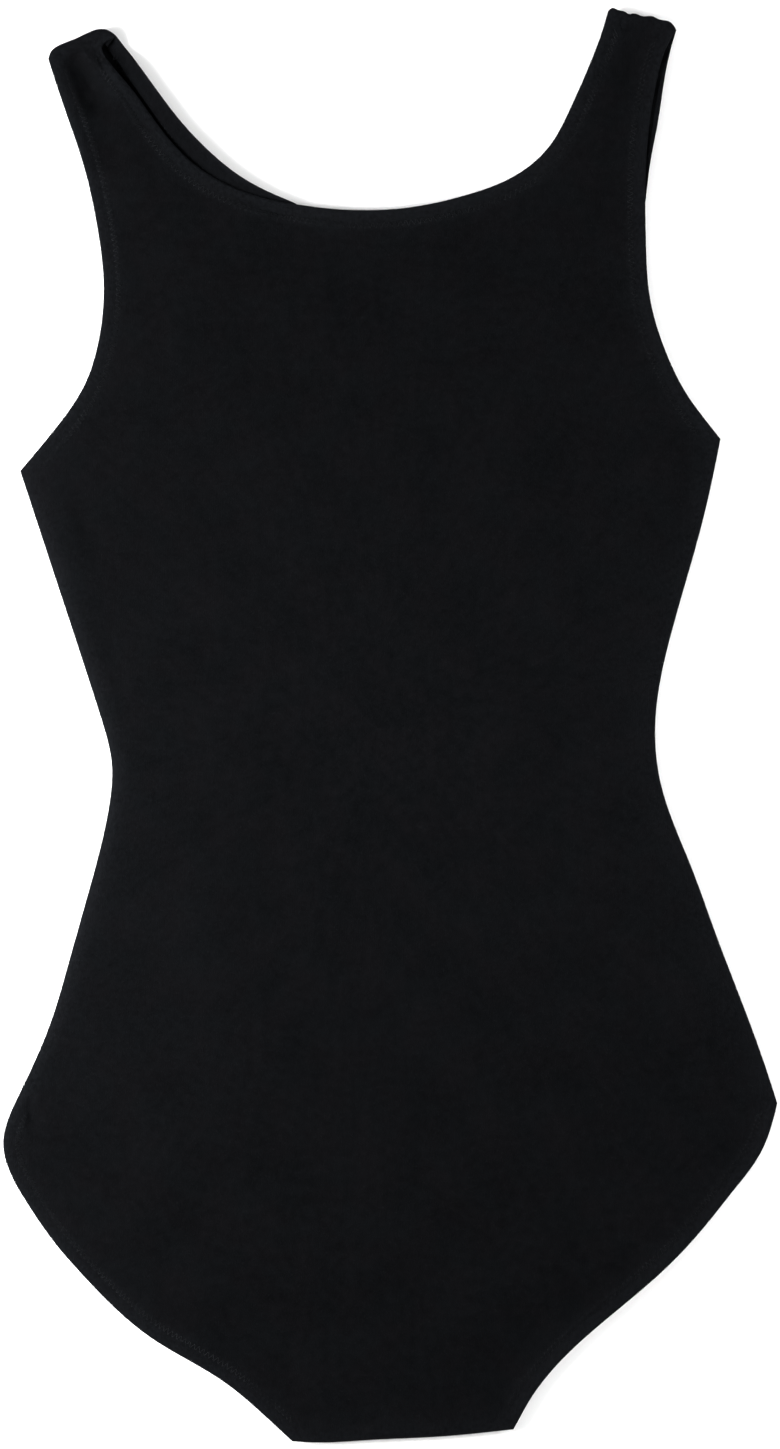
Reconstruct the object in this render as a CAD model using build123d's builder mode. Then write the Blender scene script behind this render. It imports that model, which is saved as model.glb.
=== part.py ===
from build123d import *
import os

# A sleeveless gymnastics leotard, laid flat on its front with its back upwards.
# Millimetres.  +Z is up and +Y runs from the crotch to the straps.  The origin is the centre
# of the footprint, on the surface that the garment lies on.  The wearer's left is at -X.

# ---- Driving dimensions ----
laid_height = 8.6         # the whole garment, with the air between its two layers
cloth = 0.7               # stretch jersey
hem_width = 7.3           # cloth turned in round the elastic
elastic_width = 6.0
elastic_thickness = 0.6
elastic_inset = 0.8       # from the folded edge to the elastic
seam_allowance = 6.0      # cloth turned in at the side, shoulder and crotch seams
thread = 0.25             # height of a row of stitches
row_width = 0.4           # width of a row of stitches
row_inset = 5.9           # from the folded edge to the row that holds the hem
overlock_width = 1.2      # thread over the edge of a seam allowance, on each face
waist_y = -11.0           # the garment folds in half here
fold_gap = 0.2            # each body stops this far from its fold line
crotch_seam_y = -303.0    # the back panel wraps under the crotch as far as this seam
lining_top_y = -235.0
lining_thickness = 0.5
label_length = 34.0
label_width = 26.0
label_thickness = 0.3
strap_folds = {           # a point on each strap's fold line, and the line's angle
    "left_strap": ((-104, 265), 24.3),
    "right_strap": ((113, 266), -18.2),
}
beyond = 400              # past every edge of the garment
outside = -1.0            # a band that starts here is cut by the panel's own edge
overrun = 1.0             # bands run this far past a corner, so that neighbours meet there
inset_steps = 24

# ---- Worked-out sizes ----
mid_height = laid_height / 2
lip_depth = cloth + elastic_thickness
hem_depth = lip_depth + cloth
elastic_end = elastic_inset + elastic_width
row_end = row_inset + row_width
overlock_end = seam_allowance + row_width
overlock_start = overlock_end - overlock_width - row_width
lining_edge = hem_width + 0.2

# ---- Edges of the two panels, clockwise from the neck, each with the points of its curve ----
shared_edges = {
    "left_shoulder": [(-140, 309.5), (-133, 315.5), (-122, 320), (-110.5, 318.5)],
    "right_shoulder": [(114.8, 324.2), (124, 321.5), (136, 319), (145, 315.5)],
    "left_side": [(-169, -164.5), (-151.5, -128.5), (-134.5, -74.5), (-123, -34),
                  (-121, -12), (-125, 8), (-141, 62.5), (-158, 121)],
    "right_side": [(159, 125), (151.5, 94.5), (135, 40), (126.2, -1), (127.5, -28),
                   (141, -69), (160, -124.5), (175.7, -178)],
    "crotch": [(52, -321), (20, -323), (-15, -323.7), (-38, -324.1), (-48.5, -322.8)],
}
back_edges = shared_edges | {
    "neck": [(-110.5, 318.5), (-103.7, 294.3), (-81.8, 266.3), (-59.5, 249.7), (-28, 238.6),
             (4, 235), (31, 237.3), (67, 247.2), (87.5, 262.9), (101.9, 289.8), (114.8, 324.2)],
    "right_armhole": [(145, 315.5), (137.5, 294), (133, 272), (129, 246), (128.3, 218),
                      (129.8, 190.5), (135.5, 168.5), (145.5, 146.5), (159, 125)],
    "right_leg": [(175.7, -178), (168.5, -197.5), (154, -216.5), (125, -248), (86, -280),
                  (61, -306), (52, -321)],
    "left_leg": [(-48.5, -322.8), (-76.5, -296.5), (-111.5, -273.5), (-140.5, -245.5),
                 (-165, -212), (-175.7, -183), (-169, -164.5)],
    "left_armhole": [(-158, 121), (-143, 139), (-128, 160.5), (-120.8, 182), (-118.2, 204),
                     (-120.2, 231), (-125.3, 258.5), (-133.5, 286), (-140, 309.5)],
}
front_edges = shared_edges | {
    "neck": [(-110.5, 318.5), (-90, 290), (-71.5, 268), (-51.5, 250.5), (-25, 233), (4, 225),
             (36, 226), (70, 236), (92, 259), (104.5, 287), (114.8, 324.2)],
    "right_armhole": [(145, 315.5), (140.3, 294), (135.9, 272), (129, 246), (125, 218),
                      (126, 190.5), (132.5, 168.5), (144, 146.5), (159, 125)],
    "right_leg": [(175.7, -178), (150, -200), (112, -228), (74, -262), (56, -292), (52, -321)],
    "left_leg": [(-48.5, -322.8), (-54, -292), (-70, -262), (-106, -228), (-142, -198),
                 (-169, -164.5)],
    "left_armhole": [(-158, 121), (-141, 139), (-125, 160.5), (-117, 182), (-114.5, 204),
                     (-117, 231), (-123.5, 258.5), (-132.5, 286), (-140, 309.5)],
}
clockwise = ["neck", "right_shoulder", "right_armhole", "right_side", "right_leg",
             "crotch", "left_leg", "left_side", "left_armhole", "left_shoulder"]
hem_bodies = {            # each hem, with the bodies that it runs through
    "neck": ["torso", "left_strap", "right_strap"],
    "left_armhole": ["torso", "left_strap"],
    "right_armhole": ["torso", "right_strap"],
    "left_leg": ["hips"],
    "right_leg": ["hips"],
}
seam_bodies = {           # each seam between the two panels, with its bodies
    "left_side": ["torso", "hips"],
    "right_side": ["torso", "hips"],
    "left_shoulder": ["left_strap"],
    "right_shoulder": ["right_strap"],
}


# ---- Flat shapes ----
panel_points = {"back": back_edges, "front": front_edges}
curves = {panel: {name: Spline(*points) for name, points in edges.items()}
          for panel, edges in panel_points.items()}


def outline(panel):
    """The face that one panel covers."""
    with BuildSketch() as flat:
        with BuildLine():
            for name in clockwise:
                add(curves[panel][name])
        make_face()
    return flat.sketch


panel_faces = {panel: outline(panel) for panel in panel_points}


def inset(curve, distance):
    """Points along a curve and just past its ends, each moved square to it into the panel."""
    steps = [step / inset_steps for step in range(inset_steps + 1)]
    points = [curve @ step + (curve % step).rotate(Axis.Z, -90) * distance for step in steps]
    before = points[0] - (curve % 0) * overrun
    after = points[-1] + (curve % 1) * overrun
    return [before, *points, after]


def band(panel, name, end, start=outside):
    """The strip of a panel that lies from start to end millimetres inside one of its edges."""
    curve = curves[panel][name]
    with BuildSketch() as flat:
        with BuildLine():
            outer = Spline(*inset(curve, start))
            inner = Spline(*inset(curve, end))
            Line(outer @ 0, inner @ 0)
            Line(outer @ 1, inner @ 1)
        make_face()
        add(panel_faces[panel], mode=Mode.INTERSECT)
    return flat.sketch


def elastic_shape(panel, hem):
    """The elastic in a hem, which stops short of the seams at its ends."""
    with BuildSketch() as flat:
        add(band(panel, hem, elastic_end, start=elastic_inset))
        for seam in [*seam_bodies, "crotch"]:
            add(band(panel, seam, elastic_inset), mode=Mode.SUBTRACT)
    return flat.sketch


def across(low_y, high_y):
    """Everything between two heights of the garment."""
    with BuildSketch() as flat:
        with Locations((0, low_y)):
            Rectangle(2 * beyond, high_y - low_y, align=(Align.CENTER, Align.MIN))
    return flat.sketch


def strap_end(strap, shift):
    """Everything above a strap's fold line, moved along the strap by a shift."""
    (x, y), angle = strap_folds[strap]
    with BuildSketch() as flat:
        with Locations(Location((x, y, 0), (0, 0, angle))):
            with Locations((0, shift)):
                Rectangle(110, 100, align=(Align.CENTER, Align.MIN))
    return flat.sketch


# ---- The four bodies that the fold lines part ----
with BuildSketch() as torso_region:
    add(across(waist_y + fold_gap, beyond))
    for strap in strap_folds:
        add(strap_end(strap, -fold_gap), mode=Mode.SUBTRACT)

regions = {
    "torso": torso_region.sketch,
    "hips": across(-beyond, waist_y - fold_gap),
    "left_strap": strap_end("left_strap", fold_gap),
    "right_strap": strap_end("right_strap", fold_gap),
}
front_of_crotch = across(crotch_seam_y, waist_y - fold_gap)
behind_crotch = across(-beyond, crotch_seam_y)


# ---- Layers: a flat shape, and the heights of its bottom and top ----
def level(panel, depths):
    """The heights of a layer that lies between two depths inside a panel's outer face."""
    if panel == "front":
        return depths
    return tuple(laid_height - depth for depth in reversed(depths))


def panel_layers(panel):
    """One panel: its cloth, the hems turned in round the elastics, and its seam allowances."""
    layers = [(panel_faces[panel], *level(panel, (0, cloth)))]
    for hem in hem_bodies:
        layers.append((band(panel, hem, cloth), *level(panel, (cloth, hem_depth))))
        layers.append((band(panel, hem, hem_width), *level(panel, (lip_depth, hem_depth))))
    for seam in seam_bodies:
        layers.append((band(panel, seam, cloth), *level(panel, (cloth, mid_height))))
        allowance = band(panel, seam, seam_allowance)
        layers.append((allowance, *level(panel, (mid_height - cloth, mid_height))))
    return layers


def stitch_layers(panel, hem):
    """The rows of stitches sunk into the outside and the inside of a hem."""
    row = band(panel, hem, row_end, start=row_inset)
    outer = (row, *level(panel, (0, thread)))
    inner = (row, *level(panel, (hem_depth - thread, hem_depth)))
    return [outer, inner]


def overlock_layers(seam):
    """The thread wrapped over the edges of the two seam allowances."""
    over = band("back", seam, overlock_end, start=overlock_start)
    edge = band("back", seam, overlock_end, start=seam_allowance)
    low = mid_height - cloth
    high = mid_height + cloth
    return [(over, low - thread, low), (edge, low, high), (over, high, high + thread)]


def stack(layers, region, mode=Mode.ADD):
    """Extrude each layer's share of one region into the part being built."""
    for shape, low, high in layers:
        share = shape & region      # algebra, because a sketch block can't hold an empty share
        if share:
            extrude(Plane.XY.offset(low) * share, amount=high - low, mode=mode)


def finish(name, piece):
    """Label a finished piece and write its file."""
    piece.part.label = name
    export_step(piece.part, f"parts/{name}.step")


os.makedirs("parts", exist_ok=True)
back_layers = panel_layers("back")
front_layers = panel_layers("front")
hem_rows = {panel: {hem: stitch_layers(panel, hem) for hem in hem_bodies} for panel in panel_faces}
back_rows = sum(hem_rows["back"].values(), [])
front_rows = sum(hem_rows["front"].values(), [])

# ---- Back panel: torso and straps ----
for body in ["torso", "left_strap", "right_strap"]:
    with BuildPart() as back_panel:
        stack(back_layers, regions[body])
        stack(back_rows, regions[body], mode=Mode.SUBTRACT)
    finish(f"back_panel_{body}", back_panel)

# ---- Front panel: torso and straps ----
for body in ["torso", "left_strap", "right_strap"]:
    with BuildPart() as front_panel:
        stack(front_layers, regions[body])
        stack(front_rows, regions[body], mode=Mode.SUBTRACT)
    finish(f"front_panel_{body}", front_panel)

# ---- Gusset shapes, between the leg hems ----
with BuildSketch() as gusset:
    add(panel_faces["front"])
    for leg in ["left_leg", "right_leg"]:
        add(band("front", leg, lining_edge), mode=Mode.SUBTRACT)

allowance_end_y = crotch_seam_y - seam_allowance
back_allowance = (gusset.sketch, cloth, 2 * cloth)
front_allowance = (gusset.sketch, 2 * cloth, 3 * cloth)
front_upstand = (gusset.sketch, cloth, 3 * cloth)

# ---- Back panel: hips, with the part that wraps under the crotch ----
with BuildPart() as seat:
    stack(back_layers, regions["hips"])
    stack([(band("back", "crotch", cloth), cloth, laid_height - cloth)], regions["hips"])
    stack(front_layers, behind_crotch)
    stack([back_allowance], across(allowance_end_y, crotch_seam_y))
    stack(back_rows, regions["hips"], mode=Mode.SUBTRACT)
    stack(front_rows, behind_crotch, mode=Mode.SUBTRACT)
finish("back_panel_hips", seat)

# ---- Front panel: hips, down to the crotch seam ----
with BuildPart() as lower_front:
    stack(front_layers, front_of_crotch)
    stack([front_upstand], across(crotch_seam_y, crotch_seam_y + cloth))
    stack([front_allowance], across(allowance_end_y, crotch_seam_y))
    stack(front_rows, front_of_crotch, mode=Mode.SUBTRACT)
finish("front_panel_hips", lower_front)

# ---- Elastics and hem stitching, one node for each hem in each body ----
for hem, bodies in hem_bodies.items():
    elastics = [(elastic_shape(panel, hem), *level(panel, (cloth, lip_depth)))
                for panel in panel_faces]
    for body in bodies:
        with BuildPart() as elastic:
            stack(elastics, regions[body])
        finish(f"{hem}_elastic_{body}", elastic)

        with BuildPart() as stitching:
            stack(hem_rows["back"][hem] + hem_rows["front"][hem], regions[body])
        finish(f"{hem}_stitching_{body}", stitching)

# ---- Overlock thread of the side and shoulder seams ----
for seam, bodies in seam_bodies.items():
    for body in bodies:
        with BuildPart() as overlock:
            stack(overlock_layers(seam), regions[body])
        finish(f"{seam}_seam_{body}", overlock)

# ---- Overlock thread of the crotch seam ----
with BuildPart() as crotch_seam:
    edge_zone = across(allowance_end_y - row_width, allowance_end_y)
    over_zone = across(allowance_end_y - row_width, allowance_end_y + overlock_width)
    stack([(gusset.sketch, cloth, 3 * cloth)], edge_zone)
    stack([(gusset.sketch, 3 * cloth, 3 * cloth + thread)], over_zone)
finish("crotch_seam", crotch_seam)

# ---- Gusset lining, on the inside of the front panel, and its stitching ----
lining_low_y = crotch_seam_y + cloth + fold_gap
lining_top = cloth + lining_thickness
with BuildPart() as gusset_lining:
    stack([(gusset.sketch, cloth, lining_top)], across(lining_low_y, lining_top_y))
finish("gusset_lining", gusset_lining)

with BuildPart() as gusset_stitching:
    row_top_y = lining_top_y - 1.5
    stack([(gusset.sketch, lining_top, lining_top + thread)],
          across(row_top_y - row_width, row_top_y))
finish("gusset_stitching", gusset_stitching)

# ---- Care label, caught in the left side seam, with no print on it ----
with BuildPart() as care_label:
    with BuildSketch(Plane.XY.offset(mid_height + cloth + thread)):
        with Locations(Location((-116.7, 39.8, 0), (0, 0, 16.4))):
            Rectangle(label_width, label_length)
    extrude(amount=label_thickness)
finish("care_label", care_label)
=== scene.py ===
import math

import bmesh
import bpy
import numpy as np
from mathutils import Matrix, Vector, geometry, kdtree, noise


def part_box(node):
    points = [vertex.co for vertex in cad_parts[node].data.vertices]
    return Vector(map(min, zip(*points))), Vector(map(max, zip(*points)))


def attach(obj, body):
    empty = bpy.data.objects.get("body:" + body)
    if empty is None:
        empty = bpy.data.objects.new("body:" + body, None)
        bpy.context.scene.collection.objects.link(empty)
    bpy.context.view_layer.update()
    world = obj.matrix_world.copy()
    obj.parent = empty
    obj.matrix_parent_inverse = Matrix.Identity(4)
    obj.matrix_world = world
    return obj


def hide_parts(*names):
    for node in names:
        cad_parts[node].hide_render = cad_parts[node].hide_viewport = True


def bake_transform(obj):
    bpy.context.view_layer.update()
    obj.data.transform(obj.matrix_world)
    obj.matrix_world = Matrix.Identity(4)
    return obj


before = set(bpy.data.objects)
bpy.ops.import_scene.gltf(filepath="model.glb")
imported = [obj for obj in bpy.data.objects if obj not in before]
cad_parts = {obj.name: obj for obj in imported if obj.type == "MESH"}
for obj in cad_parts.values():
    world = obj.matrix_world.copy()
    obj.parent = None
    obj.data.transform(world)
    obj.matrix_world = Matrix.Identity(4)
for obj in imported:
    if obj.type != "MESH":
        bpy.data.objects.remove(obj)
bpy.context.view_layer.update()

# The garment is worked out in millimetres, in the CAD frame, and put into Blender in metres.
# It lies on its front with its back upwards. "Height" is measured from the plane half way up.
MM = 0.001
CLOTH = 0.6                # thickness of the jersey as it is drawn
HEM = 7.3                  # width of a turned hem
HEM_FOLD = 0.75            # half the height between a hem's two layers, and its fold's radius
ALLOWANCE = 6.0            # width of a seam allowance
SEAM_HEIGHT = 0.36         # of a panel's cloth at a seam, where it meets the other panel
STITCH_ROW = 6.6           # from the folded edge to the middle of the hem's zigzag
STITCH_REACH = 1.5         # the zigzag reaches this far each side of its row
STITCH_PITCH = 2.4         # length of one whole zigzag
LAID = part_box("back_panel_hips")[1][2] / MM
MIDDLE = LAID / 2
FULL_HEIGHT = MIDDLE - 0.5          # of the cloth above or below the middle plane, at most
CROTCH_SEAM_Y = -303.0
LINING_TOP_Y = -235.0
STRAP_CUT = 14.0           # a strap's pieces start this far below its fold line

# ---- Outlines: each edge of a panel, clockwise from the neck ----
SHARED_EDGES = {
    "right_shoulder": [(115.1, 322.7), (117, 324.1), (119.2, 323), (122.3, 322.2), (124.3, 320.9),
                       (126.3, 321.2), (130.2, 319.8), (134.8, 319.7), (137.5, 318.3),
                       (142.6, 317), (145.4, 313.3)],
    "right_side": [(159.8, 126.5), (152, 94.5), (135.1, 40), (126.3, -1), (127.6, -28),
                   (141, -69), (150.2, -96.8), (159.8, -124.5), (172, -161.2), (176.4, -176.5)],
    "crotch": [(52, -321), (20, -323.2), (-15, -323.9), (-38, -324.3), (-48.6, -323.4)],
    "left_side": [(-169.2, -164.4), (-152.1, -128.3), (-145.1, -107.5), (-134.7, -74.4),
                  (-123.4, -33.9), (-121.3, -12), (-125.4, 7.9), (-141.3, 62.4), (-158.8, 121.6)],
    "left_shoulder": [(-140.3, 308.8), (-139.1, 312), (-136, 314.4), (-128.4, 317.2),
                      (-121.8, 320.1), (-117.6, 321.4), (-113.2, 321), (-109.6, 318.3)],
}
BACK_EDGES = SHARED_EDGES | {
    "neck": [(-109.6, 318.3), (-116.2, 313.4), (-114, 307.8), (-104, 294.8), (-90.8, 275.7),
             (-77.4, 260.1), (-58.5, 247.6), (-28, 238.6), (4, 235.2), (31, 237.2), (49, 241.1),
             (67, 247.3), (87.4, 263.1), (94.9, 275.6), (101.9, 289.8), (111.5, 312),
             (115.1, 322.7)],
    "right_armhole": [(145.4, 313.3), (141, 306.3), (136.3, 292.7), (132, 272), (129.3, 246),
                      (128.6, 218), (129.8, 190.5), (135.5, 168.5), (145.5, 146.5),
                      (153.2, 135.3), (159.8, 126.5)],
    "right_leg": [(176.4, -176.5), (168.8, -197.6), (154.2, -216.7), (145.7, -226.8),
                  (125.2, -248.2), (86, -280), (61, -306), (52, -321)],
    "left_leg": [(-48.6, -323.4), (-67.1, -305.3), (-76.8, -296.9), (-111.8, -273.9),
                 (-140.8, -245.8), (-153.2, -230.7), (-165.3, -212.2), (-175.8, -183),
                 (-169.2, -164.4)],
    "left_armhole": [(-158.8, 121.6), (-143.2, 139.2), (-128, 160.5), (-120.8, 182),
                     (-118.2, 204), (-120.2, 231), (-125.3, 258.5), (-133.5, 286),
                     (-140.3, 308.8)],
}
FRONT_EDGES = SHARED_EDGES | {
    "neck": [(-109.6, 318.3), (-103.7, 310.4), (-94.5, 297.2), (-80.6, 277.7), (-71.8, 267.7),
             (-58, 255), (-44.4, 246.3), (-30.5, 239.7), (-18, 233.8), (4, 227), (36, 226),
             (70, 236), (92, 259), (104.5, 287), (115.1, 322.7)],
    "right_armhole": [(145.4, 313.3), (143.2, 306.5), (140, 294), (135.9, 272), (131.2, 250),
                      (129.1, 236), (126.6, 222), (125.2, 208), (126, 190.5), (132.5, 168.5),
                      (144, 146.5), (159.8, 126.5)],
    "right_leg": [(176.4, -176.5), (150, -200), (112, -228), (74, -262), (56, -292), (52, -321)],
    "left_leg": [(-48.6, -323.4), (-54, -292), (-70, -262), (-106, -228), (-142, -198),
                 (-169.2, -164.4)],
    "left_armhole": [(-158.8, 121.6), (-141, 139), (-125, 160.5), (-117, 182), (-114.5, 204),
                     (-117, 231), (-123.5, 258.5), (-132.5, 286), (-140.3, 308.8)],
}
CLOCKWISE = ["neck", "right_shoulder", "right_armhole", "right_side", "right_leg",
             "crotch", "left_leg", "left_side", "left_armhole", "left_shoulder"]
HEMS = ["neck", "left_armhole", "right_armhole", "left_leg", "right_leg"]
SEAMS = ["left_side", "right_side", "left_shoulder", "right_shoulder"]


# ---- Curves ----
FINE_STEPS = 60            # a curve is worked out at this many places for each of its points


def even_points(points, spacing):
    """Points at an even spacing along a smooth curve, a natural cubic spline, through a few."""
    p = np.array(points, float)
    t = np.concatenate([[0], np.cumsum(np.linalg.norm(np.diff(p, axis=0), axis=1))])
    h = np.diff(t)
    system = np.eye(len(t))
    bend = np.zeros_like(p)
    for i in range(1, len(t) - 1):
        system[i, i - 1:i + 2] = h[i - 1], 2 * (h[i - 1] + h[i]), h[i]
        bend[i] = 6 * ((p[i + 1] - p[i]) / h[i] - (p[i] - p[i - 1]) / h[i - 1])
    m = np.linalg.solve(system, bend)
    u = np.linspace(0, t[-1], FINE_STEPS * len(t))
    i = np.clip(np.searchsorted(t, u, side="right") - 1, 0, len(h) - 1)
    after, before = (t[i + 1] - u)[:, None], (u - t[i])[:, None]
    hi = h[i][:, None]
    line = (m[i] * after**3 + m[i + 1] * before**3) / (6 * hi)
    line += (p[i] / hi - m[i] * hi / 6) * after + (p[i + 1] / hi - m[i + 1] * hi / 6) * before
    run = np.concatenate([[0], np.cumsum(np.linalg.norm(np.diff(line, axis=0), axis=1))])
    count = max(2, round(run[-1] / spacing))
    even = np.linspace(0, run[-1], count + 1)
    return np.stack([np.interp(even, run, line[:, k]) for k in range(line.shape[1])], axis=1)


def smooth_step(x):
    """0 below 0, 1 above 1, and a smooth rise between them."""
    x = np.clip(x, 0, 1)
    return x * x * (3 - 2 * x)


class Edge:
    """One edge of a panel, and the strips beside it, which are mitred at its two corners."""

    STEP = 0.5             # distance between the points that an edge is kept as
    MITRE_REACH = 45.0     # the mitre at a corner fades out this far along the edge
    TURN_REACH = 9.0       # the direction across the edge is an average over this far each way

    def __init__(self, points):
        self.line = even_points(points, self.STEP)
        step = np.linalg.norm(np.diff(self.line, axis=0), axis=1)
        self.run = np.concatenate([[0], np.cumsum(step)])
        self.length = self.run[-1]
        reach = round(self.TURN_REACH / self.STEP)
        padded = np.pad(np.gradient(self.line, axis=0), ((reach, reach), (0, 0)), mode="edge")
        self.tangents = sum(padded[i:i + len(self.line)] for i in range(2 * reach + 1))
        self.tangents /= np.linalg.norm(self.tangents, axis=1)[:, None]
        self.mitres = [0.0, 0.0]
        self.neighbours = [None, None]

    def fades(self, s):
        """1 at the edge's start and at its end, each falling to 0 away from there."""
        reach = min(self.MITRE_REACH, self.length / 2)
        return np.clip(1 - s / reach, 0, 1), np.clip(1 - (self.length - s) / reach, 0, 1)

    def beside(self, s, inside):
        """A point so far along the edge and inside it, moved along to suit the corners."""
        at_start, at_end = self.fades(s)
        shift = self.mitres[0] * at_start - self.mitres[1] * at_end
        t = np.clip(s + inside * shift, 0, self.length)
        x, y = (np.interp(t, self.run, self.line[:, k]) for k in (0, 1))
        tx, ty = (np.interp(t, self.run, self.tangents[:, k]) for k in (0, 1))
        size = np.hypot(tx, ty)
        return np.stack([x + inside * ty / size, y - inside * tx / size], axis=-1)

    def place(self, s, inside):
        """The same, with what the two edges at a corner disagree by shared between them."""
        s, inside = np.broadcast_arrays(np.asarray(s, float), inside)
        before, after = self.neighbours
        at_start, at_end = (fade[..., None] for fade in self.fades(s))
        start_gap = before.beside(before.length, inside) - self.beside(0.0, inside)
        end_gap = after.beside(0.0, inside) - self.beside(self.length, inside)
        return self.beside(s, inside) + start_gap / 2 * at_start + end_gap / 2 * at_end


def mitred_edges(outline):
    """The edges of a panel, each told its neighbours and the angles of its corners."""
    edges = {name: Edge(outline[name]) for name in CLOCKWISE}
    for name, following in zip(CLOCKWISE, CLOCKWISE[1:] + CLOCKWISE[:1]):
        first, second = edges[name], edges[following]
        a, b = first.tangents[-1], second.tangents[0]
        turn = math.atan2(a[1] * b[0] - a[0] * b[1], a @ b)
        first.mitres[1] = second.mitres[0] = math.tan(turn / 2)
        first.neighbours[1], second.neighbours[0] = second, first
    return edges


PANELS = {"back": mitred_edges(BACK_EDGES), "front": mitred_edges(FRONT_EDGES)}
SIDES = {"back": 1, "front": -1}       # which way a panel's height goes from the middle plane


# ---- How high the cloth lies ----
def tree_of(points):
    """A tree that finds the nearest of some points, and how far away it is."""
    tree = kdtree.KDTree(len(points))
    for i, (x, y) in enumerate(points):
        tree.insert((x, y, 0), i)
    tree.balance()
    return tree


HEM_TREES = {panel: tree_of(np.concatenate([edges[hem].line for hem in HEMS]))
             for panel, edges in PANELS.items()}
BACK_TREES = {name: tree_of(PANELS["back"][name].line) for name in ("neck", "right_armhole")}
SHOULDERS_TREE = tree_of(np.concatenate([PANELS["back"][name].line
                                         for name in ("left_shoulder", "right_shoulder")]))
EDGE_TREES = {panel: tree_of(np.concatenate([edge.line for edge in edges.values()]))
              for panel, edges in PANELS.items()}

HEM_SETTLE = 2.0           # the back lies this much lower beside its hems than away from them
SETTLE_REACH = 50          # that fades out this far inside a hem
SAG = 0.45                 # the back lies this much below its full height on average
SWELL = 0.55               # depth of its widest unevenness
SWELL_SIZE = (85, 60)
RIPPLE = 0.16              # depth of its small ripples
RIPPLE_SIZE = (17, 24)
CREASE_START = 4.8         # no crease comes nearer to a shoulder seam than this
CREASE_FADE = 3.5          # and it takes this far to reach its depth

# Creases pressed into the back panel: start, end, half width, depth, in millimetres.
# A depth below 0 is a raised fold.
CREASES = [
    ((-130, 312), (-118, 283), 4.4, 4.0),           # valley down the left strap
    ((-123, 300), (-113, 256), 6.0, 1.5),           # its shallow end
    ((-126, 315), (-121.5, 304), 2.4, -1.0),        # fold at the left shoulder
    ((-117, 314.5), (-115, 305), 3.2, 1.5),         # hollow at its corner
    ((-114, 309), (-105, 289), 3.2, -0.7),          # roll beside the left strap's neck edge
    ((128, 312), (122, 282), 3.5, 0.5),             # hollow down the right strap
    ((135, 164.5), (121, 162.5), 1.5, 1.1),         # pinch at the right armhole
    ((-62, 247), (-30, 231), 2.2, 0.35),            # where the front's neck edge passes beneath
    ((-112, 152), (-84, 136), 5.0, 0.5),            # drag lines below the armholes
    ((138, 135), (112, 128), 5.0, 0.45),
    ((-137, 120), (-124, 74), 4.0, 0.9),            # hollows beside the side seams
    ((-125, 52), (-114, 14), 2.4, 0.9),
    ((146, 121), (144, 93), 3.0, 0.7),
    ((-121, -3), (-84, -20), 2.0, 0.9),             # drag lines at the waist
    ((122, -12), (95, -2), 3.5, 0.45),
    ((-140, -92), (-100, -112), 6.0, 0.5),          # drag line at the left hip
    ((-164, -163), (-161.5, -184), 2.5, 1.25),      # hollow inside the top of the left leg hem
    ((-36, -318), (-62, -270), 5.0, 0.6),           # drag lines up from the crotch fold
    ((42, -316), (70, -262), 5.0, 0.5),
]


def crease_depth(x, y):
    """How deep the creases are at a point: each is deepest half way along it."""
    depth = 0.0
    for (x0, y0), (x1, y1), width, deep in CREASES:
        dx, dy = x1 - x0, y1 - y0
        along = ((x - x0) * dx + (y - y0) * dy) / (dx * dx + dy * dy)
        near = min(max(along, 0), 1)
        gap = math.hypot(x - x0 - near * dx, y - y0 - near * dy)
        fade = 1 - abs(2 * near - 1) ** 3
        depth += deep * fade * math.exp(-(gap / width) ** 2)
    return depth


def loft(panel, xy):
    """The height of a panel's cloth away from its edges: the back one sags and ripples."""
    if panel == "front":
        return np.full(len(xy), FULL_HEIGHT)
    heights = np.empty(len(xy))
    for i, (x, y) in enumerate(xy):
        to_hem = HEM_TREES[panel].find((x, y, 0))[2]
        settle = HEM_SETTLE * (1 - smooth_step(to_hem / SETTLE_REACH))
        swell = SWELL * noise.noise((x / SWELL_SIZE[0], y / SWELL_SIZE[1], 3.1)) - SAG
        ripple = RIPPLE * noise.noise((x / RIPPLE_SIZE[0], y / RIPPLE_SIZE[1], 8.7))
        to_shoulder = SHOULDERS_TREE.find((x, y, 0))[2]
        crease = crease_depth(x, y) * smooth_step((to_shoulder - CREASE_START) / CREASE_FADE)
        heights[i] = FULL_HEIGHT - settle + swell + ripple - crease
    return np.minimum(heights, FULL_HEIGHT)


SEAM_SHAPES = {      # the height where two panels meet, and how far in the cloth rounds over
    "left_side": (SEAM_HEIGHT, 8.0), "right_side": (SEAM_HEIGHT, 8.0), "crotch": (0.0, 4.0),
    "left_shoulder": (SEAM_HEIGHT, 4.0), "right_shoulder": (SEAM_HEIGHT, 4.0),
}
HEM_END_SHAPE = (SEAM_HEIGHT, 6.0)      # the same where a hem runs into a seam
HEM_END = 7.0                           # it does so over this length


def rounding(inside, radius):
    """0 at an edge, rising round a quarter of a circle to 1 at so far inside it."""
    return np.sqrt(1 - (1 - np.clip(inside / radius, 0, 1)) ** 2)


def seam_share(name, edge, s):
    """1 beside a seam or the crotch fold, 0 beside a hem, and between them at a hem's ends."""
    if name not in HEMS:
        return np.ones_like(s)
    return 1 - smooth_step(np.minimum(s, edge.length - s) / HEM_END)


def places_along(panel, name):
    """Where the columns of points stand along an edge: closer on shoulders and the back's hems."""
    edge = PANELS[panel][name]
    fine = "shoulder" in name or (panel == "back" and name in HEMS)
    spacing = STITCH_PITCH / 2 if fine else STITCH_PITCH
    return np.linspace(0, edge.length, 2 * max(2, round(edge.length / spacing / 2)) + 1)


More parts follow.
